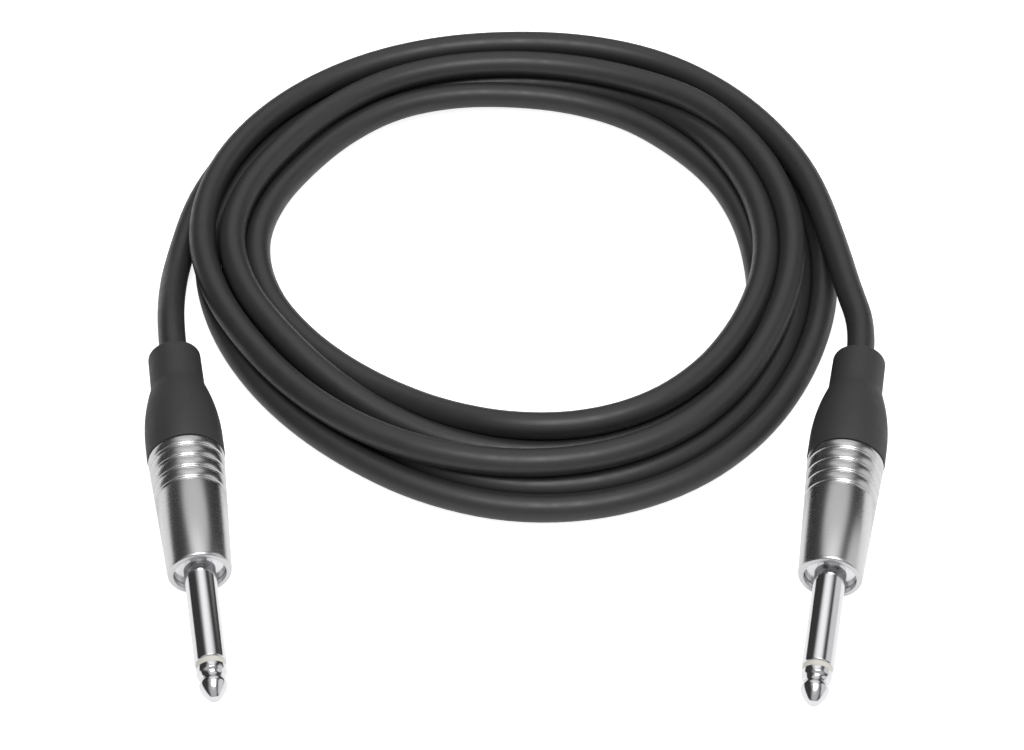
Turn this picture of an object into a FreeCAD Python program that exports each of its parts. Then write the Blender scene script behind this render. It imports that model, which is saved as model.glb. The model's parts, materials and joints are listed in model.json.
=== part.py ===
"""Instrument cable: two straight 6.35 mm plugs joined by one coiled cable.

Every plug piece is drawn along its own axis: z runs from the end of the tip
towards the cable, x points sideways and y up.  The finished piece is then laid
on the floor by its Placement, once for the left plug and once for the right.
"""
import FreeCAD, Part
import math
import operator
import os

import Sketcher
from FreeCAD import Placement, Rotation, Vector

SIZES = {
    # how the two plugs lie on the floor
    "nose_down": 2.9,
    "left_tip_x": -57.95,
    "left_tip_y": -43.2,
    "left_turn": -9.3,
    "right_tip_x": 56.75,
    "right_tip_y": -44.2,
    "right_turn": 10.1,
    # contact pin
    "pin_radius": 3.175,
    "nose_flat": 0.9,
    "nose_round": 3.4,
    "head_radius": 2.8,
    "head_at": 3.2,
    "head_band": 0.5,
    "waist_round": 1.6,
    "collar_radius": 3.0,
    "collar_at": 6.0,
    "tip_length": 7.3,
    "rod_radius": 1.25,
    "rivet_radius": 1.9,
    "rivet_height": 0.7,
    "ring_radius": 3.0,
    "ring_length": 1.2,
    "core_radius": 2.2,
    "sleeve_chamfer": 0.2,
    "flange_radius": 5.3,
    "flange_thick": 1.3,
    "neck_radius": 4.8,
    "neck_length": 4.0,
    # shell
    "face_at": 30.5,
    "face_radius": 6.1,
    "face_bevel": 0.5,
    "front_radius": 6.45,
    "recess_depth": 1.2,
    "rim_at": 60.4,
    "rim_gap": 0.2,
    "shell_radius": 7.85,
    "chamber_front": 5.6,
    "chamber_rear": 5.95,
    "socket_length": 8.2,
    "socket_radius": 6.35,
    "groove_count": 4,
    "groove_pitch": 2.8,
    "groove_from_rim": 10.8,
    "groove_width": 0.9,
    "groove_depth": 0.35,
    # boot
    "boot_radius": 8.0,
    "boot_length": 28.1,
    "barrel_length": 4.6,
    "step_at": 18.4,
    "step_radius": 5.75,
    "boot_end_radius": 5.5,
    "boot_end_round": 0.9,
    "boot_rim_bevel": 0.3,
    "spigot_radius": 6.1,
    "spigot_length": 3.9,
    "spigot_bore": 4.5,
    "spigot_depth": 1.1,
    "bore_gap": 0.2,
    # chuck that grips the cable
    "chuck_from_rim": 5.6,
    "chuck_flange": 5.9,
    "chuck_flange_thick": 1.5,
    "chuck_radius": 4.2,
    "chuck_length": 6.2,
    "chuck_gap": 0.15,
    "slot_width": 1.0,
    "slot_length": 4.2,
    # terminals
    "earth_plate": 0.8,
    "washer_radius": 3.4,
    "washer_thick": 0.8,
    "tip_plate": 0.6,
    "tip_plate_radius": 2.6,
    "lug_height": 2.0,
    "lug_width": 2.8,
    "lug_length": 7.4,
    "lug_hole": 0.5,
    "lug_hole_inset": 1.0,
    "strip_depth": 3.5,
    "strip_width": 4.0,
    "crimp_inset": 0.7,
    "crimp_length": 3.5,
    "crimp_mouth": 3.6,
    # cable
    "cable_radius": 2.9,
    "jacket_from_rim": 10.6,
    "core_wire_radius": 1.2,
    "core_wire_length": 3.4,
    "conductor_radius": 0.4,
    "conductor_length": 5.0,
    "braid_radius": 0.8,
    "braid_length": 7.2,
    "tip_solder_radius": 1.25,
    "tip_solder_from_jacket": 6.9,
    "earth_solder_radius": 2.0,
    "earth_solder_from_jacket": 5.2,
    "solder_film": 0.05,
    "coil_x": -0.95,
    "coil_y": 81.0,
    "exit_run": 9.0,
}

# innermost strand's and outermost strand's distance from the middle of the coil, and
# height of the top strand in cable diameters: clockwise from the left, 30 degrees apart
COIL_EDGES = [
    (56.4, 71.6, 1.0), (56.0, 72.2, 0.95), (55.2, 70.8, 1.0), (53.2, 69.2, 1.0),
    (53.0, 70.0, 1.05), (52.8, 68.8, 0.95), (54.0, 69.8, 1.0), (55.6, 70.2, 1.0),
    (56.4, 73.4, 0.95), (54.6, 73.0, 0.95), (50.4, 68.0, 0.9), (52.2, 66.4, 0.9),
]

# centre line of the loose ends after their straight run out of the boot
TAILS = {
    "left": [(-74.7, 66.5, 6.3), (-74.6, 79.0, 2.9), (-71.9, 90.5, 2.9)],
    "right": [(71.4, 64.0, 10.0), (70.0, 76.0, 9.2), (67.2, 87.5, 8.8)],
}

# where a wire's step starts and ends, as shares of its length
WIRE_STRAIGHT = 0.14
WIRE_STEP_END = 0.42

OPERATIONS = {"+": operator.add, "-": operator.sub, "*": operator.mul, "/": operator.truediv}

doc = FreeCAD.newDocument("InstrumentCable")
sheet = doc.addObject("Spreadsheet::Sheet", "Sizes")
for row, (alias, number) in enumerate(SIZES.items(), start=1):
    sheet.set("A{}".format(row), alias)
    sheet.set("B{}".format(row), str(number))
    sheet.setAlias("B{}".format(row), alias)
doc.recompute()
os.makedirs("parts", exist_ok=True)
nodes = []


class Size:
    """A length kept both as a number and as the expression that gives it."""

    def __init__(self, text, number):
        self.text = text
        self.number = number

    def joined(self, sign, other):
        if not isinstance(other, Size):
            other = Size(str(other), other)
        number = OPERATIONS[sign](self.number, other.number)
        return Size("({} {} {})".format(self.text, sign, other.text), number)

    def __add__(self, other):
        return self.joined("+", other)

    def __sub__(self, other):
        return self.joined("-", other)

    def __mul__(self, other):
        return self.joined("*", other)

    def __truediv__(self, other):
        return self.joined("/", other)


def size(alias):
    return Size("Sizes." + alias, float(sheet.get(alias)))


ZERO = Size("0", 0.0)
ring_end = size("tip_length") + size("ring_length")
flange_at = size("face_at") + size("recess_depth")
neck_at = flange_at + size("flange_thick")
neck_end = neck_at + size("neck_length")
washer_at = neck_end + size("earth_plate")
washer_end = washer_at + size("washer_thick")
plate_end = washer_end + size("tip_plate")
shell_end = size("rim_at") - size("rim_gap")
boot_end = size("rim_at") + size("boot_length")
socket_at = shell_end - size("socket_length")
groove_first = size("rim_at") - size("groove_from_rim")
chuck_at = size("rim_at") - size("chuck_from_rim")
chuck_end = chuck_at + size("chuck_length")
jacket_at = size("rim_at") - size("jacket_from_rim")
crimp_at = jacket_at + size("crimp_inset")
tip_solder_at = jacket_at - size("tip_solder_from_jacket")
earth_solder_at = jacket_at - size("earth_solder_from_jacket")
core_wire_end = jacket_at - size("core_wire_length")
conductor_drop = size("lug_height") - size("conductor_radius") - size("solder_film")
braid_drop = size("braid_radius") + size("solder_film") - size("strip_depth")


def plane(body, role):
    return next(item for item in body.Origin.OriginFeatures if item.Role == role)


def add_sketch(body, name, role):
    sketch = body.newObject("Sketcher::SketchObject", name)
    sketch.AttachmentSupport = [(plane(body, role), "")]
    sketch.MapMode = "FlatFace"
    return sketch


def arc_between(start, end, radius):
    """Arc of a given radius; a negative one bends the outline inwards."""
    chord = end - start
    rise = math.sqrt(radius * radius - chord.Length * chord.Length / 4)
    left = Vector(-chord.y, chord.x, 0).normalize()
    centre = (start + end) * 0.5 + left * math.copysign(rise, radius)
    first, last = (start, end) if radius > 0 else (end, start)
    angles = [math.atan2(point.y - centre.y, point.x - centre.x) for point in (first, last)]
    if angles[1] < angles[0]:
        angles[1] += 2 * math.pi
    circle = Part.Circle(centre, Vector(0, 0, 1), abs(radius))
    return Part.ArcOfCircle(circle, angles[0], angles[1])


def tie(sketch, kind, edge, end, length):
    """Hold one end of an edge at a distance from the sketch's origin."""
    if length.number == 0:
        sketch.addConstraint(Sketcher.Constraint("PointOnObject", edge, end, -2 if kind == "X" else -1))
        return
    number = sketch.addConstraint(
        Sketcher.Constraint("Distance" + kind, -1, 1, edge, end, length.number))
    sketch.setExpression("Constraints[{}]".format(number), length.text)


def draw(sketch, outline):
    """Closed outline of (across, along, radius of the arc to the next point or None)."""
    corners = [Vector(across.number, along.number, 0) for across, along, _ in outline]
    ends = []
    for number, (_, _, bend) in enumerate(outline):
        start = corners[number]
        end = corners[(number + 1) % len(corners)]
        if bend is None:
            edge = sketch.addGeometry(Part.LineSegment(start, end), False)
            ends.append((edge, 1, 2))
            continue
        edge = sketch.addGeometry(arc_between(start, end, bend.number), False)
        ends.append((edge, 1, 2) if bend.number > 0 else (edge, 2, 1))
        held = sketch.addConstraint(Sketcher.Constraint("Radius", edge, abs(bend.number)))
        sketch.setExpression("Constraints[{}]".format(held), "abs({})".format(bend.text))
    for number, (across, along, _) in enumerate(outline):
        edge, first, _ = ends[number]
        before, _, last = ends[number - 1]
        sketch.addConstraint(Sketcher.Constraint("Coincident", before, last, edge, first))
        tie(sketch, "X", edge, first, across)
        tie(sketch, "Y", edge, first, along)


def turned(name, outline):
    """Body turned about its own z axis from an outline of radius and height."""
    body = doc.addObject("PartDesign::Body", name)
    sketch = add_sketch(body, name + "_outline", "XZ_Plane")
    draw(sketch, outline)
    turn = body.newObject("PartDesign::Revolution", name + "_turned")
    turn.Profile = sketch
    turn.ReferenceAxis = (sketch, ["V_Axis"])
    turn.Angle = 360
    sketch.Visibility = False
    body.Tip = turn
    doc.recompute()
    return body


def ring_edges(body, radius, along):
    """Names of the round edges of a body at one radius and height."""
    found = []
    for number, edge in enumerate(body.Tip.Shape.Edges, start=1):
        curve = edge.Curve
        if not isinstance(curve, Part.Circle) or abs(curve.Radius - radius.number) > 1e-3:
            continue
        if abs(curve.Center.z - along.number) < 1e-3:
            found.append("Edge{}".format(number))
    return found


def dress(body, kind, name, edges, amount):
    """Fillet or chamfer the named edges of the body's last feature."""
    base = body.Tip
    feature = body.newObject("PartDesign::" + kind, name)
    feature.Base = (base, edges)
    feature.setExpression("Radius" if kind == "Fillet" else "Size", amount.text)
    body.Tip = feature
    doc.recompute()


def solid(kind, name, centre=(ZERO, ZERO, ZERO), **lengths):
    """Primitive whose sizes and position follow the sheet."""
    piece = doc.addObject("Part::" + kind, name)
    for key, length in lengths.items():
        piece.setExpression(key, length.text)
    for letter, length in zip("xyz", centre):
        if length.text != ZERO.text:
            piece.setExpression("Placement.Base." + letter, length.text)
    return piece


def combined(kind, name, *pieces):
    """Boolean of several pieces: Cut, MultiFuse or MultiCommon."""
    result = doc.addObject("Part::" + kind, name)
    if kind == "Cut":
        result.Base, result.Tool = pieces
    else:
        result.Shapes = list(pieces)
    return result


def bent_route(points):
    """Wire of straight runs joined by arcs that touch both neighbouring runs."""
    points = [Vector(*point) for point in points]
    edges = []
    radii = []
    start = points[0]
    for before, corner, after in zip(points, points[1:], points[2:]):
        back = (before - corner)
        ahead = (after - corner)
        reach = 0.45 * min(back.Length, ahead.Length)
        back.normalize()
        ahead.normalize()
        half_turn = (math.pi - back.getAngle(ahead)) / 2
        radius = reach / math.tan(half_turn)
        radii.append(radius)
        entry = corner + back * reach
        leave = corner + ahead * reach
        inward = (back + ahead).normalize()
        middle = corner + inward * (math.hypot(radius, reach) - radius)
        edges.append(Part.LineSegment(start, entry).toShape())
        edges.append(Part.Arc(entry, middle, leave).toShape())
        start = leave
    edges.append(Part.LineSegment(start, points[-1]).toShape())
    return Part.Wire(edges), radii


def bent_rod(name, points, radius):
    """Round rod swept along a bent route."""
    route, radii = bent_route(points)
    start = Vector(*points[0])
    heading = Vector(*points[1]) - start
    section = Part.Wire(Part.Circle(start, heading, radius).toShape())
    rod = doc.addObject("Part::Feature", name)
    rod.Shape = route.makePipeShell([section], True, False)
    wanted = math.pi * radius * radius * route.Length
    print("{}: length {:.1f}, bends {}, volume {:.3f} of section times length".format(
        name, route.Length, [round(value, 1) for value in radii], rod.Shape.Volume / wanted))
    return rod


def stepped_route(first, second, start, end):
    """Route along a plug's axis that steps from one height to another near its start."""
    run = start - end
    return [(0, first, start), (0, first, start - WIRE_STRAIGHT * run),
            (0, second, start - WIRE_STEP_END * run), (0, second, end)]


def make_tip_contact(name):
    return turned(name, [
        (ZERO, ZERO, None),
        (size("nose_flat"), ZERO, size("nose_round")),
        (size("head_radius"), size("head_at"), None),
        (size("head_radius"), size("head_at") + size("head_band"), size("waist_round") * -1),
        (size("collar_radius"), size("collar_at"), None),
        (size("collar_radius"), size("tip_length"), None),
        (size("rod_radius"), size("tip_length"), None),
        (size("rod_radius"), plate_end, None),
        (size("rivet_radius"), plate_end, None),
        (size("rivet_radius"), plate_end + size("rivet_height"), None),
        (ZERO, plate_end + size("rivet_height"), None),
    ])


def make_tube(name, inner, outer, start, end):
    return turned(name, [
        (inner, start, None), (outer, start, None), (outer, end, None), (inner, end, None)])


def make_sleeve_contact(name):
    body = turned(name, [
        (size("core_radius"), ring_end, None),
        (size("pin_radius"), ring_end, None),
        (size("pin_radius"), flange_at, None),
        (size("flange_radius"), flange_at, None),
        (size("flange_radius"), neck_at, None),
        (size("neck_radius"), neck_at, None),
        (size("neck_radius"), neck_end, None),
        (size("core_radius"), neck_end, None),
    ])
    edges = ring_edges(body, size("pin_radius"), ring_end)
    dress(body, "Chamfer", name + "_lead", edges, size("sleeve_chamfer"))
    return body


def make_shell(name):
    """Tapered shell with a recess round the pin and finger grooves at its wide end."""
    body = turned(name, [
        (size("flange_radius"), size("face_at"), None),
        (size("face_radius"), size("face_at"), None),
        (size("front_radius"), size("face_at") + size("face_bevel"), None),
        (size("shell_radius"), shell_end, None),
        (size("socket_radius"), shell_end, None),
        (size("socket_radius"), socket_at, None),
        (size("chamber_rear"), socket_at, None),
        (size("chamber_front"), neck_end, None),
        (size("neck_radius"), neck_end, None),
        (size("neck_radius"), neck_at, None),
        (size("flange_radius"), neck_at, None),
    ])
    # the groove's floor follows the taper, so each copy is as deep as the first
    taper_length = shell_end - size("face_at") - size("face_bevel")
    taper = (size("shell_radius") - size("front_radius")) / taper_length
    reach = groove_first - size("face_at") - size("face_bevel")
    floor = size("front_radius") + taper * reach - size("groove_depth")
    half = size("groove_width") / 2
    sketch = add_sketch(body, name + "_groove_outline", "XZ_Plane")
    draw(sketch, [
        (floor, groove_first - half, None),
        (size("boot_radius"), groove_first - half, None),
        (size("boot_radius"), groove_first + half, None),
        (floor, groove_first + half, None),
    ])
    groove = body.newObject("PartDesign::Groove", name + "_groove")
    groove.Profile = sketch
    groove.ReferenceAxis = (sketch, ["V_Axis"])
    groove.Angle = 360
    sketch.Visibility = False
    body.Tip = groove
    doc.recompute()
    copies = body.newObject("PartDesign::LinearPattern", name + "_grooves")
    copies.Originals = [groove]
    copies.Direction = (sketch, ["V_Axis"])
    copies.setExpression("Occurrences", "Sizes.groove_count")
    copies.setExpression("Length", "Sizes.groove_pitch * (Sizes.groove_count - 1)")
    body.Tip = copies
    doc.recompute()
    return body


def make_boot(name):
    """Rubber boot: barrel, domed shoulder, narrow neck and the spigot inside the shell."""
    bore = size("cable_radius") + size("bore_gap")
    run = size("step_at") - size("barrel_length")
    drop = size("boot_radius") - size("step_radius")
    dome = (run * run + drop * drop) / (drop * 2)
    cavity_end = size("rim_at") + size("spigot_depth")
    spigot_at = size("rim_at") - size("spigot_length")
    body = turned(name, [
        (size("spigot_bore"), spigot_at, None),
        (size("spigot_radius"), spigot_at, None),
        (size("spigot_radius"), size("rim_at"), None),
        (size("boot_radius"), size("rim_at"), None),
        (size("boot_radius"), size("rim_at") + size("barrel_length"), dome),
        (size("step_radius"), size("rim_at") + size("step_at"), None),
        (size("boot_end_radius"), boot_end, None),
        (bore, boot_end, None),
        (bore, cavity_end, None),
        (size("spigot_bore"), cavity_end, None),
    ])
    dress(body, "Fillet", name + "_end_round",
          ring_edges(body, size("boot_end_radius"), boot_end), size("boot_end_round"))
    dress(body, "Chamfer", name + "_rim_bevel",
          ring_edges(body, size("boot_radius"), size("rim_at")), size("boot_rim_bevel"))
    return body


def make_chuck(name):
    """Slotted sleeve that the boot presses round the cable."""
    bore = size("cable_radius") + size("chuck_gap")
    flange_end = chuck_at + size("chuck_flange_thick")
    body = turned(name, [
        (bore, chuck_at, None),
        (size("chuck_flange"), chuck_at, None),
        (size("chuck_flange"), flange_end, None),
        (size("chuck_radius"), flange_end, None),
        (size("chuck_radius"), chuck_end, None),
        (bore, chuck_end, None),
    ])
    half = size("slot_width") / 2
    sketch = add_sketch(body, name + "_slot_outline", "XZ_Plane")
    draw(sketch, [
        (half * -1, chuck_end - size("slot_length"), None),
        (half, chuck_end - size("slot_length"), None),
        (half, chuck_end + size("slot_width"), None),
        (half * -1, chuck_end + size("slot_width"), None),
    ])
    slot = body.newObject("PartDesign::Pocket", name + "_slot")
    slot.Profile = sketch
    slot.Type = "ThroughAll"
    slot.Midplane = True
    sketch.Visibility = False
    body.Tip = slot
    doc.recompute()
    copies = body.newObject("PartDesign::PolarPattern", name + "_slots")
    copies.Originals = [slot]
    copies.Axis = (sketch, ["V_Axis"])
    copies.Angle = 180
    copies.Occurrences = 2
    body.Tip = copies
    doc.recompute()
    return body


def make_tip_terminal(name):
    """Eye on the rod and a flat lug for the inner wire."""
    eye = solid("Cylinder", name + "_eye", (ZERO, ZERO, washer_end),
                Radius=size("tip_plate_radius"), Height=size("tip_plate"))
    lug = solid("Box", name + "_lug",
                (size("lug_width") * -0.5, size("lug_height"), washer_end),
                Length=size("lug_width"), Width=size("tip_plate"), Height=size("lug_length"))
    hole = solid("Cylinder", name + "_rod_hole", (ZERO, ZERO, washer_at),
                 Radius=size("rod_radius"), Height=size("neck_length"))
    wire_hole = solid("Cylinder", name + "_wire_hole",
                      (ZERO, size("lug_height") * 2,
                       washer_end + size("lug_length") - size("lug_hole_inset")),
                      Radius=size("lug_hole"), Height=size("lug_height") * 2)
    wire_hole.Placement.Rotation = Rotation(Vector(1, 0, 0), 90)
    plate = combined("MultiFuse", name + "_plate", eye, lug)
    holes = combined("MultiFuse", name + "_holes", hole, wire_hole)
    return combined("Cut", name, plate, holes)


def make_sleeve_terminal(name):
    """Eye on the sleeve's neck, a strip along the cable and a clamp round the jacket."""
    outer = size("cable_radius") + size("earth_plate")
    eye = solid("Cylinder", name + "_eye", (ZERO, ZERO, neck_end),
                Radius=size("neck_radius"), Height=size("earth_plate"))
    eye_hole = solid("Cylinder", name + "_eye_hole", (ZERO, ZERO, neck_at),
                     Radius=size("core_radius"), Height=size("neck_length") * 2)
    ring = combined("Cut", name + "_ring", eye, eye_hole)
    strip = solid("Box", name + "_strip",
                  (size("strip_width") * -0.5, (size("strip_depth") + size("earth_plate")) * -1,
                   neck_end),
                  Length=size("strip_width"), Width=size("earth_plate"),
                  Height=crimp_at + size("crimp_length") - neck_end)
    clamp = solid("Cylinder", name + "_clamp", (ZERO, ZERO, crimp_at),
                  Radius=outer, Height=size("crimp_length"))
    clamp_bore = solid("Cylinder", name + "_clamp_bore", (ZERO, ZERO, jacket_at),
                       Radius=size("cable_radius"), Height=size("crimp_length") * 2)
    mouth = solid("Box", name + "_mouth",
                  (size("crimp_mouth") * -0.5, ZERO, jacket_at),
                  Length=size("crimp_mouth"), Width=outer * 2, Height=size("crimp_length") * 2)
    opening = combined("MultiFuse", name + "_opening", clamp_bore, mouth)
    wings = combined("Cut", name + "_wings", clamp, opening)
    return combined("MultiFuse", name, ring, strip, wings)


def make_solder(name, height, along, radius, side, wire_height, wire_radius):
    """Half a ball of solder on a terminal's face with the wire's end sunk in it."""
    drop = solid("Sphere", name + "_drop", (ZERO, height, along), Radius=radius)
    drop.Angle1 = 0
    drop.Placement.Rotation = Rotation(Vector(1, 0, 0), -90 * side)
    wire = solid("Cylinder", name + "_wire", (ZERO, wire_height, along - radius * 2),
                 Radius=wire_radius, Height=radius * 4)
    return combined("Cut", name, drop, wire)


def plug_pieces(side):
    """All pieces of one plug in its own axes."""
    jacket = jacket_at.number
    braid_end = jacket - size("braid_length").number
    conductor_end = core_wire_end.number - size("conductor_length").number
    braid_start = -(size("core_wire_radius") + size("braid_radius") + size("solder_film")).number
    return [
        make_tip_contact("tip_contact_" + side),
        make_tube("tip_insulator_" + side, size("rod_radius"), size("ring_radius"),
                  size("tip_length"), ring_end),
        make_sleeve_contact("sleeve_contact_" + side),
        make_tube("core_insulator_" + side, size("rod_radius"), size("core_radius"),
                  ring_end, washer_at),
        make_tube("rear_insulator_" + side, size("rod_radius"), size("washer_radius"),
                  washer_at, washer_end),
        make_tip_terminal("tip_terminal_" + side),
        make_sleeve_terminal("sleeve_terminal_" + side),
        make_shell("shell_" + side),
        make_boot("boot_" + side),
        make_chuck("chuck_" + side),
        make_tube("jacket_end_" + side, ZERO, size("cable_radius"), jacket_at, boot_end),
        make_tube("core_wire_" + side, ZERO, size("core_wire_radius"), core_wire_end,
                  jacket_at),
        bent_rod("conductor_end_" + side,
                 stepped_route(0, conductor_drop.number, core_wire_end.number, conductor_end),
                 size("conductor_radius").number),
        bent_rod("shield_braid_" + side,
                 stepped_route(braid_start, braid_drop.number, jacket, braid_end),
                 size("braid_radius").number),
        make_solder("tip_solder_" + side, size("lug_height"), tip_solder_at,
                    size("tip_solder_radius"), -1, conductor_drop, size("conductor_radius")),
        make_solder("sleeve_solder_" + side, size("strip_depth") * -1, earth_solder_at,
                    size("earth_solder_radius"), 1, braid_drop, size("braid_radius")),
    ]


def plug_place(side):
    """Where one plug lies: on the front of its shell and the rim of its boot."""
    tilt = math.radians(size("nose_down").number)
    turn = math.radians(size(side + "_turn").number)
    heading = Vector(math.sin(turn) * math.cos(tilt), math.cos(turn) * math.cos(tilt), math.sin(tilt))
    across = Vector(0, 0, 1).cross(heading).normalize()
    upward = heading.cross(across)
    contact = size("rim_at").number + size("boot_rim_bevel").number
    height = size("boot_radius").number * math.cos(tilt) - contact * math.sin(tilt)
    tip = Vector(size(side + "_tip_x").number, size(side + "_tip_y").number, height)
    return Placement(tip, Rotation(across, upward, heading, "ZYX")), heading


def make_tail(side):
    """Loose end of the cable from the boot to the side of the coil."""
    place, heading = plug_place(side)
    start = place.multVec(Vector(0, 0, boot_end.number))
    straight = start + heading * size("exit_run").number
    points = [tuple(start), tuple(straight)] + TAILS[side]
    return bent_rod("cable_tail_" + side, points, size("cable_radius").number)


def coil_section(angle, inner, outer, layers):
    """Outline of the bundle of strands at one angle: a block with rounded corners."""
    radius = size("cable_radius").number
    top = 2 * radius * (1 + layers)
    left = inner - radius
    right = outer + radius
    corners = [(left, radius), (left, top - radius), (left + radius, top), (right - radius, top),
               (right, top - radius), (right, radius), (right - radius, 0), (left + radius, 0)]
    slant = radius * (1 - math.sqrt(0.5))
    bows = {1: (left + slant, top - slant), 3: (right - slant, top - slant),
            5: (right - slant, slant), 7: (left + slant, slant)}
    middle = Vector(size("coil_x").number, size("coil_y").number, 0)
    outward = Vector(math.cos(angle), math.sin(angle), 0)

    def point(spot):
        return middle + outward * spot[0] + Vector(0, 0, spot[1])

    edges = []
    for number, corner in enumerate(corners):
        following = corners[(number + 1) % len(corners)]
        if number in bows:
            edges.append(Part.Arc(point(corner), point(bows[number]), point(following)).toShape())
        else:
            edges.append(Part.LineSegment(point(corner), point(following)).toShape())
    return Part.Wire(edges)


def make_coil(name):
    """One closed ring with the outer shape of all strands of the coil together."""
    count = len(COIL_EDGES)
    sections = []
    for number, (inner, outer, layers) in enumerate(COIL_EDGES):
        angle = math.pi - 2 * math.pi * number / count
        sections.append(coil_section(angle, inner, outer, layers))
    coil = doc.addObject("Part::Feature", name)
    coil.Shape = Part.makeLoft(sections, True, False, True)
    return coil


for side in ("left", "right"):
    place, _ = plug_place(side)
    for piece in plug_pieces(side):
        piece.Placement = place.multiply(piece.Placement)
        nodes.append(piece)
    nodes.append(make_tail(side))
nodes.append(make_coil("cable_coil"))
doc.recompute()

for item in doc.Objects:
    if "Invalid" in item.State or "Error" in item.State:
        raise RuntimeError("{} did not build: {}".format(item.Name, item.State))
for piece in nodes:
    piece.Label = piece.Name
    shape = piece.Shape
    if shape.isNull() or not shape.isValid() or len(shape.Solids) != 1:
        raise RuntimeError("{} is not one sound solid".format(piece.Name))
    shape.exportStep(os.path.join("parts", piece.Name + ".step"))
    box = shape.BoundBox
    print("{:24s} {:8.1f} mm3  x {:7.2f} {:7.2f}  y {:7.2f} {:7.2f}  z {:6.2f} {:6.2f}".format(
        piece.Name, shape.Volume, box.XMin, box.XMax, box.YMin, box.YMax, box.ZMin, box.ZMax))
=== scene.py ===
# %% [markdown]
# # An instrument cable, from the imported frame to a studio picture
#
# The part is one cable with a straight 6.35 mm plug at each end. This lesson lays the
# real cable over them, turns the plugs' fine shapes on a lathe made of a few
# operators, paints everything and lights the table.

import json
import math

import bpy
from mathutils import Matrix, Vector


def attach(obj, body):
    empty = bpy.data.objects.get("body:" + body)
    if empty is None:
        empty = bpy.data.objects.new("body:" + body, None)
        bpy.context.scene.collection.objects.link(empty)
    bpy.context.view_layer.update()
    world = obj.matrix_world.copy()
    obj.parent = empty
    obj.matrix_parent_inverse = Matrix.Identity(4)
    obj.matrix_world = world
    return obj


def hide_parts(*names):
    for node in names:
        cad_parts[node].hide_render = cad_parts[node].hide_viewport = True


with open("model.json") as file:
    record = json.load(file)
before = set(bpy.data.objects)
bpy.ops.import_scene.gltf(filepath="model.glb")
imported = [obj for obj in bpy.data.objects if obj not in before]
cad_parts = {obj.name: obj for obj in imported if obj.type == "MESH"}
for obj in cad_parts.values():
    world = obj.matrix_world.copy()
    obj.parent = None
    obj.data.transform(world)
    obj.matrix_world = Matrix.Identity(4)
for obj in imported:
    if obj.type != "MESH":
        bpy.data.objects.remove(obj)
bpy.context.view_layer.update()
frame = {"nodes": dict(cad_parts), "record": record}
MM = 0.001
print("pieces in the frame:", len(frame["nodes"]))

# %% [markdown]
# ## Where the plugs lie
#
# Each plug rests on the front edge of its boot. The cable lifts the boot's end, so the
# nose points down by a few degrees. The pieces could be moved and turned one by one. Here
# everything on a plug is measured along its axis from the end of the tip, so one matrix
# per plug is enough and both plugs share all profiles.

# %% Plug places
NOSE_DOWN = math.radians(2.9)
RIM_AT = 60.7
BOOT_RADIUS = 8.0
BOOT_END = 88.5
PLUGS = {
    "left": {"tip": (-57.95, -43.2), "turn": -9.3},
    "right": {"tip": (56.75, -44.2), "turn": 10.1},
}


def plug_matrix(side):
    """Matrix from a plug's own axes (z along the plug) to the floor, in metres."""
    turn = math.radians(PLUGS[side]["turn"])
    heading = Vector((math.sin(turn) * math.cos(NOSE_DOWN),
                      math.cos(turn) * math.cos(NOSE_DOWN), math.sin(NOSE_DOWN)))
    across = Vector((0, 0, 1)).cross(heading).normalized()
    upward = heading.cross(across)
    height = BOOT_RADIUS * math.cos(NOSE_DOWN) - RIM_AT * math.sin(NOSE_DOWN)
    tip = Vector((*PLUGS[side]["tip"], height)) * MM
    turned_axes = Matrix((across, upward, heading)).transposed().to_4x4()
    return Matrix.Translation(tip) @ turned_axes


def on_axis(side, along):
    """Point on a plug's axis, in millimetres."""
    return plug_matrix(side) @ Vector((0, 0, along * MM)) / MM


print("left boot ends at", [round(v, 1) for v in on_axis("left", BOOT_END)], "mm")

# %% [markdown]
# ## The camera
#
# A long lens from a steep angle: the coil is almost as wide at the back as in front.
# The place is in millimetres, and the lens's length is in pixels of the picture.

# %% Camera
CAMERA_DOWN = 46.5
CAMERA_AT = (-0.95, -394.4, 465.7)
LENS_PIXELS = 3000
PICTURE_PIXELS = 1024
SENSOR_MM = 36
bpy.ops.object.camera_add(location=Vector(CAMERA_AT) * MM,
                          rotation=(math.radians(90 - CAMERA_DOWN), 0, 0))
camera = bpy.context.object
camera.name = "camera"
camera.data.sensor_width = SENSOR_MM
camera.data.lens = LENS_PIXELS / PICTURE_PIXELS * SENSOR_MM
camera.data.clip_start = 0.01
camera.data.clip_end = 20
bpy.context.scene.camera = camera
print("lens {:.0f} mm".format(camera.data.lens))
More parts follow.
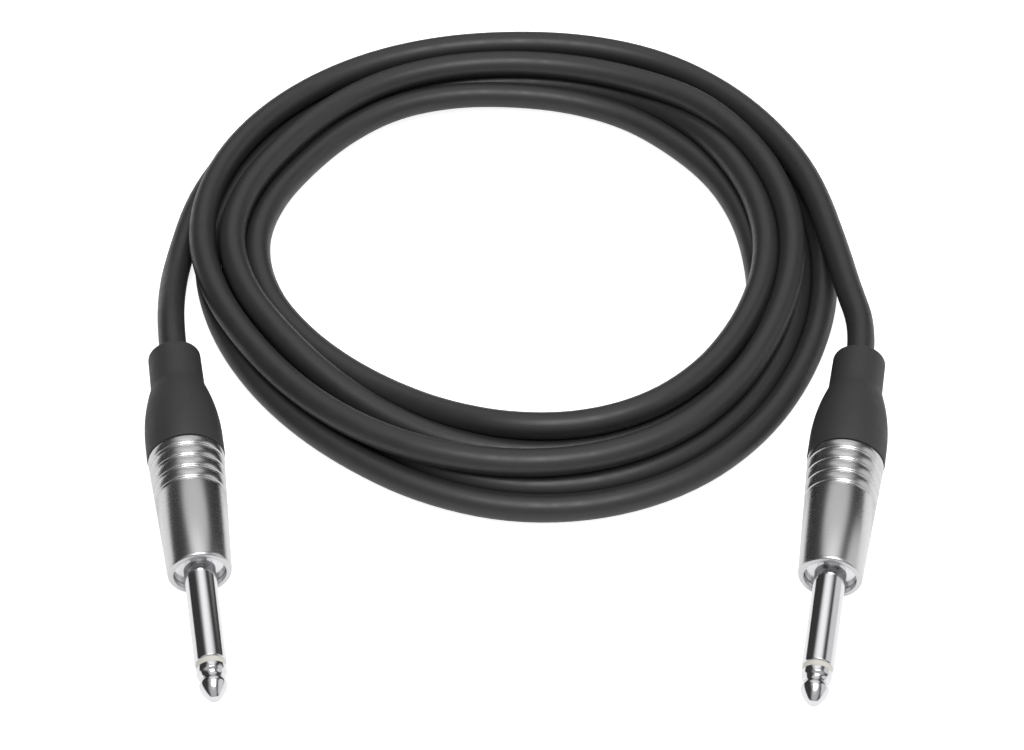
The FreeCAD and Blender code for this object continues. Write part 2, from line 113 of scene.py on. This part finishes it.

# %% [markdown]
# ## The coil's strands
#
# The cable was coiled by hand, so a spiral by formula would look too even, and a rope
# that is simulated would come to rest elsewhere. The five and a half turns are therefore
# set against the picture. Each row is a turn, the last one half a turn. Every 30
# degrees it gives the cable's distance from the coil's middle and its layer: 0 lies on the
# floor, 1 a whole cable higher. The angles run clockwise, seen from above, from the left
# side.

# %% Strands
CABLE = 5.8
MIDDLE = (-0.95, 81.0)
PASSES = [
    [(72.0, 0), (70.6, 0), (70.7, 0), (68.9, 0), (73.6, 0), (69.0, 0),
     (68.3, 0), (70.1, 0), (75.4, 0), (74.0, 0), (67.2, 0), (65.6, 0)],
    [(67.0, 0), (65.2, 0), (65.2, 0), (63.4, 0), (65.8, 0), (62.8, 0),
     (63.0, 0), (64.9, 0), (69.4, 0), (68.1, 0), (61.2, 0), (59.4, 0)],
    [(61.4, 0), (59.8, 0), (59.4, 0), (57.4, 0), (58.8, .1), (56.2, .9),
     (56.4, .87), (55.6, .9), (58.2, .92), (55.4, .83), (48.2, 0), (51.4, .1)],
    [(58.2, .45), (55.0, .2), (54.6, .4), (53.0, .15), (53.7, 0), (52.9, 0),
     (53.3, 0), (58.2, 0), (60.2, 0), (58.2, 0), (54.8, .1), (56.9, .75)],
    [(62.5, 1.05), (58.8, 1.0), (59.2, 1.05), (58.0, 1.0), (59.0, 1.0), (60.9, 1.0),
     (60.6, 1.12), (61.9, 1.0), (67.2, .98), (66.4, 1.0), (64.2, .92), (63.4, .95)],
    [(68.6, 1.0), (68.9, .95), (66.9, .9), (64.9, .9), (68.9, .87), (68.0, .9), (69.6, 1.0)],
]
GIVEN_PER_TURN = 12
POINTS_PER_TURN = 24


def eased(values, place):
    """Smooth curve (Catmull-Rom) through equally spaced values, read between them."""
    number = min(int(place), len(values) - 2)
    part = place - number
    p0 = values[max(number - 1, 0)]
    p1 = values[number]
    p2 = values[number + 1]
    p3 = values[min(number + 2, len(values) - 1)]
    return 0.5 * (2 * p1 + (p2 - p0) * part + (2 * p0 - 5 * p1 + 4 * p2 - p3) * part ** 2
                  + (3 * p1 - p0 - 3 * p2 + p3) * part ** 3)


strands = [pair for turn in PASSES for pair in turn]
count = (len(strands) - 1) * POINTS_PER_TURN // GIVEN_PER_TURN + 1
wanted = []
for number in range(count):
    place = number * GIVEN_PER_TURN / POINTS_PER_TURN
    layer = max(eased([pair[1] for pair in strands], place), 0)
    wanted.append([eased([pair[0] for pair in strands], place), CABLE * (0.5 + layer)])
print("points along the coil:", count)

# %% [markdown]
# ## Pressing the strands apart
#
# As listed, some strands would lie a little inside each other. Points one or more whole
# turns apart stand at the same angle of the coil, so each such pair is pushed apart until
# the cable has room. The room is a hair less than its thickness, as soft jackets press on
# each other. Between the pushes every point is drawn back to its wanted place and towards
# its neighbours, which keeps the cable smooth. Nothing goes below the floor.

# %% Settling
ROUNDS = 160
LAST_PUSHES = 12
ROOM = 5.77
EVENING = 0.1
HOLD = 0.2
SMALLEST_GAP = 0.01


def push_apart(first, second):
    """Move two points at the same angle until there is room for the cable."""
    across = second[0] - first[0]
    up = second[1] - first[1]
    gap = max(math.hypot(across, up), SMALLEST_GAP)
    push = max(ROOM - gap, 0) / 2 / gap
    first[0] -= across * push
    first[1] -= up * push
    second[0] += across * push
    second[1] += up * push


spots = [list(pair) for pair in wanted]
for step in range(ROUNDS):
    before = [list(spot) for spot in spots]
    if step < ROUNDS - LAST_PUSHES:
        for number in range(1, count - 1):
            for axis in (0, 1):
                here = before[number][axis]
                middle = (before[number - 1][axis] + before[number + 1][axis]) / 2
                back = wanted[number][axis] - here
                spots[number][axis] += EVENING * (middle - here) + HOLD * back
    for first in range(count):
        for second in range(first + POINTS_PER_TURN, count, POINTS_PER_TURN):
            push_apart(spots[first], spots[second])
    for spot in spots:
        spot[1] = max(spot[1], CABLE / 2)
shift = max(math.dist(spot, pair) for spot, pair in zip(spots, wanted))
print("largest move while settling: {:.1f} mm".format(shift))

# %% [markdown]
# ## The whole route
#
# The loose ends join the coil to the boots, so one curve is the whole cable, as on the
# real one. The control points of the coil lie a little outside the line that they draw,
# because the spline cuts its corners.

# %% Route
TAILS = {
    "left": [(-74.7, 66.5, 6.3), (-74.6, 79.0, 2.9)],
    "right": [(71.4, 64.0, 10.0), (70.0, 76.0, 9.2)],
}
EXIT_RUN = 9.0


def coil_points():
    """Control points of the coil, from polar places to the floor."""
    outward = 1 / math.cos(math.pi / POINTS_PER_TURN)
    points = []
    for number, (distance, height) in enumerate(spots[1:-1], start=1):
        angle = math.pi - number * 2 * math.pi / POINTS_PER_TURN
        points.append((MIDDLE[0] + distance * outward * math.cos(angle),
                       MIDDLE[1] + distance * outward * math.sin(angle), height))
    return points


def end_points(side):
    """The straight run out of the boot."""
    return [tuple(on_axis(side, BOOT_END)), tuple(on_axis(side, BOOT_END + EXIT_RUN))]


route = end_points("left") + TAILS["left"] + coil_points()
route += TAILS["right"][::-1] + end_points("right")[::-1]
print("control points:", len(route))

# %% [markdown]
# ## The cable
#
# A round jacket of one thickness along a smooth line. A Bezier curve would need handles at
# each point. A NURBS path of order 3 needs none and bends evenly between its points. Each
# point carries the cable's radius itself, with a bevel depth of 1, so the object's box is
# the true one. The jacket gets enough sides to look round where turns touch.

# %% Cable
SPLINE_ORDER = 3
STEPS_PER_POINT = 6
ROUNDNESS = 12
bpy.ops.curve.primitive_nurbs_path_add(location=(0, 0, 0))
cable = bpy.context.object
cable.name = "cable"
spline = cable.data.splines[0]
spline.points.add(len(route) - len(spline.points))
for point, spot in zip(spline.points, route):
    point.co = (*(value * MM for value in spot), 1)
    point.radius = CABLE / 2 * MM
spline.order_u = SPLINE_ORDER
spline.use_endpoint_u = True
cable.data.dimensions = "3D"
cable.data.resolution_u = STEPS_PER_POINT
cable.data.use_fill_caps = True
line = bpy.data.meshes.new_from_object(cable)
cable.data.bevel_depth = 1.0
cable.data.bevel_resolution = ROUNDNESS

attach(cable, "cable")
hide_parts("cable_tail_left", "cable_coil", "cable_tail_right")

# %% [markdown]
# ## Painting by nodes
#
# Every finish starts from a Principled shader. One helper adds a node, sets its
# properties and inputs, and links whatever socket it is given. Colours are the
# hex codes of the finished surface, made linear.

# %% Colour and nodes
def linear(code):
    """Colour of a hex code, made linear by the sRGB curve, with an alpha of 1."""
    values = [int(code[place:place + 2], 16) / 255 for place in (0, 2, 4)]
    return tuple(value / 12.92 if value < 0.04045 else ((value + 0.055) / 1.055) ** 2.4
                 for value in values) + (1,)


def add_node(tree, kind, inputs=None, **settings):
    """Node with its properties set and its inputs filled or linked."""
    node = tree.nodes.new(kind)
    for name, value in settings.items():
        setattr(node, name, value)
    for name, value in (inputs or {}).items():
        if isinstance(value, bpy.types.NodeSocket):
            tree.links.new(value, node.inputs[name])
        else:
            node.inputs[name].default_value = value
    return node


def plain_finish(name, color, roughness, metallic=0.0, **inputs):
    """Material of one colour; further Principled inputs by name."""
    material = bpy.data.materials.new(name)
    material.use_nodes = True
    surface = material.node_tree.nodes["Principled BSDF"]
    surface.inputs["Base Color"].default_value = linear(color)
    surface.inputs["Roughness"].default_value = roughness
    surface.inputs["Metallic"].default_value = metallic
    for key, value in inputs.items():
        surface.inputs[key.replace("_", " ")].default_value = value
    return material


print("mid grey 808080 is {:.2f} in linear light".format(linear("808080")[0]))

# %% [markdown]
# ## Grain and wear
#
# Moulded rubber has a fine grain, and handling leaves some places smoother than others.
# Both are noise on Object coordinates, which stay with the piece when it moves. Modelled
# grain would cost millions of faces, so it is a bump. Sizes are in millimetres.

# %% Grain and wear
NOISE_LOW = 0.3
NOISE_HIGH = 0.7
WEAR_DETAIL = 4.0


def place_in_mm(tree):
    """Object coordinates in millimetres."""
    place = add_node(tree, "ShaderNodeTexCoord").outputs["Object"]
    scaled = add_node(tree, "ShaderNodeVectorMath", {0: place, 1: (1000, 1000, 1000)},
                      operation="MULTIPLY")
    return scaled.outputs["Vector"]


def add_bump(material, height, depth):
    """Bump of a depth in millimetres from a height that runs from 0 to 1."""
    tree = material.node_tree
    bump = add_node(tree, "ShaderNodeBump",
                    {"Height": height, "Distance": depth * MM, "Strength": 1.0})
    tree.links.new(bump.outputs["Normal"], tree.nodes["Principled BSDF"].inputs["Normal"])


def add_mottle(material, low, high, per_mm):
    """Roughness that wanders between two limits over the surface."""
    tree = material.node_tree
    noise = add_node(tree, "ShaderNodeTexNoise",
                     {"Vector": place_in_mm(tree), "Scale": per_mm, "Detail": WEAR_DETAIL})
    ramp = add_node(tree, "ShaderNodeMapRange",
                    {"Value": noise.outputs["Fac"], "From Min": NOISE_LOW,
                     "From Max": NOISE_HIGH, "To Min": low, "To Max": high})
    tree.links.new(ramp.outputs["Result"], tree.nodes["Principled BSDF"].inputs["Roughness"])


print("wear follows the middle {:.0%} of the noise".format(NOISE_HIGH - NOISE_LOW))

# %% [markdown]
# ## Turned metal
#
# A lathe leaves fine rings. They follow `along`, a value that each turned piece
# carries: its distance from the end of the tip in millimetres. `around` is the
# direction of the cut, which stretches the reflections across the rings. The rings are
# about 0.1 mm wide, as a fine cut leaves them. From the picture's distance that is less
# than a pixel, so they only soften what the metal mirrors, and they show close up.

# %% Turned metal
SMOOTHEST = 0.8
ROUGHEST = 1.25
RING_DETAIL = 3.0


def turned_metal(name, color, roughness, rings_per_mm, ring_depth, anisotropy):
    """Metal with the fine rings of a lathe, in roughness and in height."""
    material = plain_finish(name, color, roughness, 1.0, Anisotropic=anisotropy)
    tree = material.node_tree
    surface = tree.nodes["Principled BSDF"]
    along = add_node(tree, "ShaderNodeAttribute", attribute_name="along").outputs["Fac"]
    around = add_node(tree, "ShaderNodeAttribute", attribute_name="around").outputs["Vector"]
    tree.links.new(around, surface.inputs["Tangent"])
    rings = add_node(tree, "ShaderNodeTexNoise",
                     {"W": along, "Scale": rings_per_mm, "Detail": RING_DETAIL},
                     noise_dimensions="1D")
    wear = add_node(tree, "ShaderNodeMapRange",
                    {"Value": rings.outputs["Fac"],
                     "To Min": roughness * SMOOTHEST, "To Max": roughness * ROUGHEST})
    tree.links.new(wear.outputs["Result"], surface.inputs["Roughness"])
    add_bump(material, rings.outputs["Fac"], ring_depth)
    return material


print("turned metal: roughness times {} to {}".format(SMOOTHEST, ROUGHEST))

# %% [markdown]
# ## Soft rubber
#
# The boots are moulded and the jacket is drawn through a die, both from a soft dark
# compound. The boots come out matt with a grain of 0.2 mm. The jacket is smoother, so a
# narrow band of light runs along each turn. One function serves both.

# %% Soft rubber
MOTTLE = 0.06
MOTTLE_PER_MM = 0.35
GRAIN_DETAIL = 2.0
RUBBER_SPECULAR = 0.45


def soft_rubber(name, color, roughness, grain_mm, grain_depth):
    """Rubber with a fine grain and a roughness that wanders a little."""
    material = plain_finish(name, color, roughness, 0.0, Specular_IOR_Level=RUBBER_SPECULAR)
    tree = material.node_tree
    grain = add_node(tree, "ShaderNodeTexNoise",
                     {"Vector": place_in_mm(tree), "Scale": 1 / grain_mm, "Detail": GRAIN_DETAIL})
    add_bump(material, grain.outputs["Fac"], grain_depth)
    add_mottle(material, roughness - MOTTLE, roughness + MOTTLE, MOTTLE_PER_MM)
    return material


print("rubber's wear spots are about {:.0f} mm wide".format(1 / MOTTLE_PER_MM))

# %% [markdown]
# ## All finishes
#
# One finish for each slot of the record. The CAD pieces inside the plugs keep their own
# shape and mostly get a plain finish, as they don't show.

# %% Finishes
FINISHES = {
    # Polished plating on the pin: mirrors the paper and the dark room with sharp edges.
    "pin_metal": turned_metal("polished nickel", "D9D9DB", 0.13, 14.0, 0.0015, 0.2),
    # Moulded, milky, with a soft sheen.
    "ring_plastic": plain_finish("white acetal", "D6D3CB", 0.35),
    # Pressed and cut, reddish brown and dull.
    "fibre_washer": plain_finish("vulcanised fibre", "6B3118", 0.7),
    # Stamped from sheet, pale yellow with blurred reflections.
    "terminal_brass": plain_finish("tinned brass", "C9BC93", 0.3, 1.0),
    # Plating on a turned tube: broad soft bands along the shell.
    "shell_metal": turned_metal("satin nickel", "C9C9CA", 0.25, 9.0, 0.0015, 0.4),
    # Moulded boots: dark grey and matt.
    "boot_rubber": soft_rubber("soft rubber", "353536", 0.6, 0.22, 0.012),
    # Moulded, dark grey with a soft sheen.
    "chuck_plastic": plain_finish("grey acetal", "333335", 0.45),
    # Drawn jacket: dark grey, smoother than the boots.
    "cable_jacket": soft_rubber("cable jacket", "303031", 0.42, 0.3, 0.008),
    # Drawn round the inner wire, milky and smooth.
    "core_plastic": plain_finish("polyethylene", "D9D6CC", 0.5),
    # Drawn strands of bare metal, warm and bright.
    "bare_copper": plain_finish("bare copper", "D9824F", 0.3, 1.0),
    # Melted and cooled drops, grey with soft reflections.
    "solder": plain_finish("solder", "9E9EA0", 0.35, 1.0),
}
for part in frame["record"]["subparts"]:
    node = frame["nodes"][part["node"]]
    node.data.materials.clear()
    node.data.materials.append(FINISHES[part["material_slot"]])
cable.data.materials.append(FINISHES["cable_jacket"])
print("finishes:", len(FINISHES))

# %% [markdown]
# ## A lathe from a few operators
#
# All that shows of a plug is round. A screw modifier could spin a drawn profile. Here a
# circle is extruded along the axis from ring to ring and resized at each one, which keeps
# every ring at its measured place. A profile that ends where it starts becomes a tube, an
# open one is capped. The piece is made upright at the world's origin.

# %% Lathe
SEGMENTS = 96
WELD = 1e-7
BEVEL_SEGMENTS = 3
BEVEL_ANGLE = 28
SMOOTH_ANGLE = 35


def lathe(name, profile, bevel=0.0):
    """Piece turned about z from (radius, along) pairs in millimetres."""
    radius, along = profile[0]
    bpy.ops.mesh.primitive_circle_add(vertices=SEGMENTS, radius=radius * MM)
    piece = bpy.context.object
    piece.name = name
    bpy.ops.object.mode_set(mode="EDIT")
    bpy.ops.mesh.select_all(action="SELECT")
    bpy.ops.transform.translate(value=(0, 0, along * MM))
    for (radius, along), (next_radius, next_along) in zip(profile, profile[1:]):
        rise = (0, 0, (next_along - along) * MM)
        bpy.ops.mesh.extrude_edges_move(TRANSFORM_OT_translate={"value": rise})
        growth = next_radius / radius
        bpy.ops.transform.resize(value=(growth, growth, 1),
                                 center_override=(0, 0, next_along * MM))
    bpy.ops.mesh.select_all(action="SELECT")
    bpy.ops.mesh.remove_doubles(threshold=WELD)
    bpy.ops.mesh.fill_holes(sides=0)
    bpy.ops.mesh.normals_make_consistent(inside=False)
    bpy.ops.object.mode_set(mode="OBJECT")
    if bevel:
        bpy.ops.object.modifier_add(type="BEVEL")
        edge = piece.modifiers[-1]
        edge.width = bevel * MM
        edge.segments = BEVEL_SEGMENTS
        edge.limit_method = "ANGLE"
        edge.angle_limit = math.radians(BEVEL_ANGLE)
        bpy.ops.object.modifier_apply(modifier=edge.name)
    bpy.ops.object.shade_smooth_by_angle(angle=math.radians(SMOOTH_ANGLE))
    return piece


def arc(centre, radius, start, end, steps):
    """Profile points on an arc; the angles are in degrees from the outward direction."""
    points = []
    for number in range(steps + 1):
        angle = math.radians(start + (end - start) * number / steps)
        points.append((centre[0] + radius * math.cos(angle),
                       centre[1] + radius * math.sin(angle)))
    return points


print("lathe with", SEGMENTS, "sides")

# %% [markdown]
# ## Laying a piece on its plug
#
# A turned piece notes on its points how far along the plug they are and which way the
# cut ran, for the finish. Then its mesh is laid on the plug's axis, while the object
# itself stays at the origin.

# %% Laying on a plug
def lay_on_plug(piece, side, body, slot, *nodes):
    """Note the lathe's directions on the piece, lay it on its plug and dress it."""
    matrix = plug_matrix(side)
    mesh = piece.data
    along = mesh.attributes.new("along", "FLOAT", "POINT")
    around = mesh.attributes.new("around", "FLOAT_VECTOR", "POINT")
    for vertex in mesh.vertices:
        along.data[vertex.index].value = vertex.co.z / MM
        cut = matrix.to_3x3() @ Vector((-vertex.co.y, vertex.co.x, 0)).normalized()
        around.data[vertex.index].vector = cut
    mesh.transform(matrix)
    mesh.materials.append(FINISHES[slot])
    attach(piece, body)
    if nodes:
        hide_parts(*nodes)
    print(piece.name, "has", len(mesh.polygons), "faces")


# %% [markdown]
# ## The tip
#
# The tip contact has a rounded head, a waist that a socket's spring drops into and a
# collar. Its rod runs through the whole pin and is riveted over behind it. The parts of
# its profile are named one by one and turned in one go, because it is one piece of
# metal. All profiles are (radius, along) in millimetres.

# %% Tip
TIP_END = 7.3
COLLAR_RADIUS = 3.0
ROD_RADIUS = 1.25
RIVET_AT = 39.2
RIVET_RADIUS = 1.9
ROD_END = 39.9
POINT_RADIUS = 0.05

HEAD = [(POINT_RADIUS, 0.0), (0.75, 0.06), (1.15, 0.3), (1.55, 0.8), (2.05, 1.5), (2.5, 2.3),
        (2.74, 2.9), (2.82, 3.3), (2.78, 3.7)]
WAIST = [(2.62, 4.1), (2.43, 4.5), (2.35, 4.9), (2.42, 5.3), (2.66, 5.7), (2.94, 5.95)]
COLLAR = [(COLLAR_RADIUS, 6.1), (COLLAR_RADIUS, 7.2), (2.9, TIP_END)]
ROD = [(ROD_RADIUS, TIP_END), (ROD_RADIUS, RIVET_AT), (RIVET_RADIUS, RIVET_AT),
       (RIVET_RADIUS, 39.6), (0.9, ROD_END), (POINT_RADIUS, ROD_END)]
TIP = HEAD + WAIST + COLLAR + ROD
for side in PLUGS:
    tip = lathe("tip_" + side, TIP)
    lay_on_plug(tip, side, "cable", "pin_metal", "tip_contact_" + side)

# %% [markdown]
# ## The insulating ring
#
# A thin plastic ring parts the tip from the sleeve. It stands a little lower than both,
# with its edges broken, so a fine line shows on each side of it.

# %% Ring
RING_END = 8.5
RING_RADIUS = 2.97
RING_EDGE = 2.85
RING_BORE = 1.3

RING = [(RING_BORE, TIP_END), (RING_EDGE, TIP_END), (RING_RADIUS, 7.42), (RING_RADIUS, 8.38),
        (RING_EDGE, RING_END), (RING_BORE, RING_END), (RING_BORE, TIP_END)]
for side in PLUGS:
    ring = lathe("ring_" + side, RING)
    lay_on_plug(ring, side, "cable", "ring_plastic", "tip_insulator_" + side)

# %% [markdown]
# ## The sleeve
#
# The plain barrel of the pin, with a flange that closes the shell's recess and a neck
# inside the shell. A small bevel on its edges catches the light as on the real one.

# %% Sleeve
PIN_RADIUS = 3.175
CORE_RADIUS = 2.25
FLANGE_AT = 31.7
FLANGE_END = 33.0
FLANGE_RADIUS = 5.25
NECK_RADIUS = 4.75
NECK_END = 37.0
PIN_BEVEL = 0.06

SLEEVE = [(CORE_RADIUS, RING_END), (2.98, RING_END), (PIN_RADIUS, 8.72),
          (PIN_RADIUS, FLANGE_AT), (FLANGE_RADIUS, FLANGE_AT), (FLANGE_RADIUS, FLANGE_END),
          (NECK_RADIUS, FLANGE_END), (NECK_RADIUS, NECK_END), (CORE_RADIUS, NECK_END),
          (CORE_RADIUS, RING_END)]
for side in PLUGS:
    sleeve = lathe("sleeve_" + side, SLEEVE, PIN_BEVEL)
    lay_on_plug(sleeve, side, "cable", "pin_metal", "sleeve_contact_" + side)

# %% [markdown]
# ## The shell
#
# A turned metal tube that tapers towards the pin, with a bevelled rim round the recess.
# Four finger grooves sit in front of the boot. A boolean could cut them, but it can leave
# ragged faces, so they are part of the profile. Their floors follow the taper.

# %% Shell
FACE_AT = 30.5
FRONT_RADIUS = 6.45
SHELL_RADIUS = 7.85
SHELL_END = 60.2
TAPER_INSET = 0.5
FACE_BORE = 5.3
CHAMBER_FRONT = 5.6
CHAMBER_REAR = 5.95
SOCKET_AT = 52.0
SOCKET_RADIUS = 6.35
GROOVE_COUNT = 4
FIRST_GROOVE = 49.6
GROOVE_PITCH = 2.8
GROOVE_WIDTH = 0.9
GROOVE_DEPTH = 0.35
GROOVE_LIP = 0.12
LIP_DROP = 0.06
FLOOR_RISE = 0.08


def shell_radius(along):
    """Radius of the tapered outside."""
    part = (along - FACE_AT - TAPER_INSET) / (SHELL_END - FACE_AT - TAPER_INSET)
    return FRONT_RADIUS + (SHELL_RADIUS - FRONT_RADIUS) * part


def groove(along):
    """Profile of one groove with rounded lips and a rounded floor."""
    half = GROOVE_WIDTH / 2
    floor = shell_radius(along) - GROOVE_DEPTH
    return [(shell_radius(along - half - GROOVE_LIP), along - half - GROOVE_LIP),
            (shell_radius(along - half) - LIP_DROP, along - half),
            (floor + FLOOR_RISE, along - half + 0.1), (floor, along - half + 0.25),
            (floor, along + half - 0.25), (floor + FLOOR_RISE, along + half - 0.1),
            (shell_radius(along + half) - LIP_DROP, along + half),
            (shell_radius(along + half + GROOVE_LIP), along + half + GROOVE_LIP)]


SHELL = [(FACE_BORE, FACE_AT), (6.05, FACE_AT), (6.25, 30.62), (6.4, 30.85),
         (shell_radius(31.3), 31.3)]
for number in range(GROOVE_COUNT):
    SHELL += groove(FIRST_GROOVE + GROOVE_PITCH * number)
SHELL += [(shell_radius(60.0), 60.0), (7.75, SHELL_END), (SOCKET_RADIUS, SHELL_END),
          (SOCKET_RADIUS, SOCKET_AT), (CHAMBER_REAR, SOCKET_AT), (CHAMBER_FRONT, NECK_END),
          (FACE_BORE, NECK_END), (FACE_BORE, FACE_AT)]
for side in PLUGS:
    shell = lathe("shell_" + side, SHELL)
    lay_on_plug(shell, side, "cable", "shell_metal", "shell_" + side)

# %% [markdown]
# ## The boot
#
# Moulded in one piece: a short barrel, a domed shoulder and a narrow neck with a soft
# end. The shoulder is an arc worked out from the barrel and the neck, so it leaves the
# barrel without a crease, and a step shows where it meets the neck.

# %% Boot
SPIGOT_AT = 56.5
SPIGOT_RADIUS = 6.05
SPIGOT_BORE = 4.5
SPIGOT_BORE_END = 61.5
CABLE_BORE = 3.1
BOOT_FACE = 60.4
BARREL_END = 65.0
STEP_AT = 78.8
STEP_RADIUS = 5.75
DOME_STEPS = 14
END_ROUND = 0.9
END_ROUND_AT = (4.62, 87.6)
END_ROUND_STEPS = 6


def dome_points(steps):
    """The shoulder's arc from the barrel to the neck."""
    run = STEP_AT - BARREL_END
    drop = BOOT_RADIUS - STEP_RADIUS
    radius = (run * run + drop * drop) / (2 * drop)
    reach = math.degrees(math.asin(run / radius))
    return arc((BOOT_RADIUS - radius, BARREL_END), radius, 0, reach, steps)


BOOT = [(SPIGOT_BORE, SPIGOT_AT), (5.9, SPIGOT_AT), (SPIGOT_RADIUS, 56.7),
        (SPIGOT_RADIUS, BOOT_FACE), (7.7, BOOT_FACE), (7.93, 60.5), (BOOT_RADIUS, 60.75)]
BOOT += dome_points(DOME_STEPS)
BOOT += [(5.7, 79.1), (5.62, 80.0), (5.52, 87.6)]
BOOT += arc(END_ROUND_AT, END_ROUND, 10, 90, END_ROUND_STEPS)
BOOT += [(3.3, BOOT_END), (CABLE_BORE, 88.3), (CABLE_BORE, SPIGOT_BORE_END),
         (SPIGOT_BORE, SPIGOT_BORE_END), (SPIGOT_BORE, SPIGOT_AT)]
for side in PLUGS:
    boot = lathe("boot_" + side, BOOT)
    lay_on_plug(boot, side, "boot_" + side, "boot_rubber", "boot_" + side)

# %% [markdown]
# ## The boot's thread
#
# The spigot in front of the boot screws into the shell. Its thread shows only when the
# boot is undone. The lathe can't wind a helix, so a screw modifier takes a small triangle
# round the axis.

# %% Thread
THREAD_RADIUS = 6.1
THREAD_HEIGHT = 0.3
THREAD_PITCH = 1.0
THREAD_TURNS = 3
THREAD_START = 0.4
THREAD_STEPS = 48


def thread(name, radius, pitch, turns, start):
    """Screw ridge of a triangular section round the axis."""
    bpy.ops.mesh.primitive_circle_add(vertices=3, radius=THREAD_HEIGHT * MM,
                                      location=(radius * MM, 0, start * MM),
                                      rotation=(math.pi / 2, math.radians(30), 0))
    bpy.ops.object.transform_apply(location=True, rotation=True)
    ridge = bpy.context.object
    ridge.name = name
    bpy.ops.object.modifier_add(type="SCREW")
    winding = ridge.modifiers[-1]
    winding.screw_offset = pitch * MM
    winding.iterations = turns
    winding.steps = THREAD_STEPS
    winding.render_steps = THREAD_STEPS
    bpy.ops.object.modifier_apply(modifier=winding.name)
    bpy.ops.object.mode_set(mode="EDIT")
    bpy.ops.mesh.select_all(action="SELECT")
    bpy.ops.mesh.fill_holes(sides=0)
    bpy.ops.mesh.normals_make_consistent(inside=False)
    bpy.ops.object.mode_set(mode="OBJECT")
    return ridge


for side in PLUGS:
    ridge = thread("boot_thread_" + side, THREAD_RADIUS, THREAD_PITCH, THREAD_TURNS,
                   SPIGOT_AT + THREAD_START)
    lay_on_plug(ridge, side, "boot_" + side, "boot_rubber")

# %% [markdown]
# ## The table
#
# The cable lies on white paper. To the camera the paper also glows, so the background
# comes out white without more light on the cable. Mirrored in metal or seen through a
# clear piece it glows with a share of that, so bright edges stay apart from the white.

# %% Table
TABLE_SIZE = 4
GLOW = 0.85
MIRRORED_GLOW = 0.3
bpy.ops.mesh.primitive_plane_add(size=TABLE_SIZE, location=(0, 0.4, 0))
floor = bpy.context.object
floor.name = "floor"
paper = plain_finish("white paper", "F4F4F4", 0.95, 0.0,
                     Specular_IOR_Level=0.1, Emission_Color=(1, 1, 1, 1))
tree = paper.node_tree
rays = add_node(tree, "ShaderNodeLightPath").outputs
seen = rays["Is Camera Ray"]
for kind in ("Is Glossy Ray", "Is Transmission Ray"):
    seen = add_node(tree, "ShaderNodeMath", {0: rays[kind], 1: MIRRORED_GLOW, 2: seen},
                    operation="MULTIPLY_ADD").outputs["Value"]
glow = add_node(tree, "ShaderNodeMath", {0: seen, 1: GLOW}, operation="MULTIPLY")
tree.links.new(glow.outputs["Value"], tree.nodes["Principled BSDF"].inputs["Emission Strength"])
floor.data.materials.append(paper)
print("paper table", TABLE_SIZE, "m wide")

# %% [markdown]
# ## The light
#
# Metal shows what stands around it. The world is therefore a dark studio with soft round
# lights. Lamps of that size would stand in the way of some views, and a world never does.
# Each light is given by its azimuth (0 is behind the coil, 90 to the right), its
# elevation, the angles where it starts to fade and where it ends, and its brightness. A
# lamp high above the plugs adds some light from above.

# %% Light
AMBIENT = 0.05
KEY_AT = (0.06, -0.2, 0.9)
KEY_TURN = (math.radians(15), math.radians(4), 0)
KEY_SIZE = 0.5
KEY_POWER = 5
SOFTBOXES = {
    "back": (2, 47, 20, 35, 0.75),
    "right": (90, 15, 25, 38, 0.75),
    "ceiling": (0, 90, 18, 42, 0.5),
    "front": (180, 35, 20, 50, 0.5),
}


def softbox(tree, direction, azimuth, elevation, full, end, brightness):
    """Brightness of one round light seen in a direction."""
    azimuth, elevation = math.radians(azimuth), math.radians(elevation)
    centre = (math.sin(azimuth) * math.cos(elevation),
              math.cos(azimuth) * math.cos(elevation), math.sin(elevation))
    nearness = add_node(tree, "ShaderNodeVectorMath", {0: direction, 1: centre},
                        operation="DOT_PRODUCT")
    fade = add_node(tree, "ShaderNodeMapRange",
                    {"Value": nearness.outputs["Value"], "From Min": math.cos(math.radians(end)),
                     "From Max": math.cos(math.radians(full)), "To Max": brightness},
                    interpolation_type="SMOOTHSTEP")
    return fade.outputs["Result"]


world = bpy.context.scene.world or bpy.data.worlds.new("studio")
bpy.context.scene.world = world
world.use_nodes = True
tree = world.node_tree
direction = add_node(tree, "ShaderNodeTexCoord").outputs["Generated"]
total = AMBIENT
for values in SOFTBOXES.values():
    light = softbox(tree, direction, *values)
    total = add_node(tree, "ShaderNodeMath", {0: total, 1: light},
                     operation="ADD").outputs["Value"]
sky = tree.nodes["Background"]
sky.inputs["Color"].default_value = (1, 1, 1, 1)
tree.links.new(total, sky.inputs["Strength"])

bpy.ops.object.light_add(type="AREA", location=KEY_AT, rotation=KEY_TURN)
key = bpy.context.object
key.name = "key"
key.data.size = KEY_SIZE
key.data.energy = KEY_POWER
bpy.context.scene.view_settings.view_transform = "Standard"
print("softboxes:", ", ".join(SOFTBOXES))
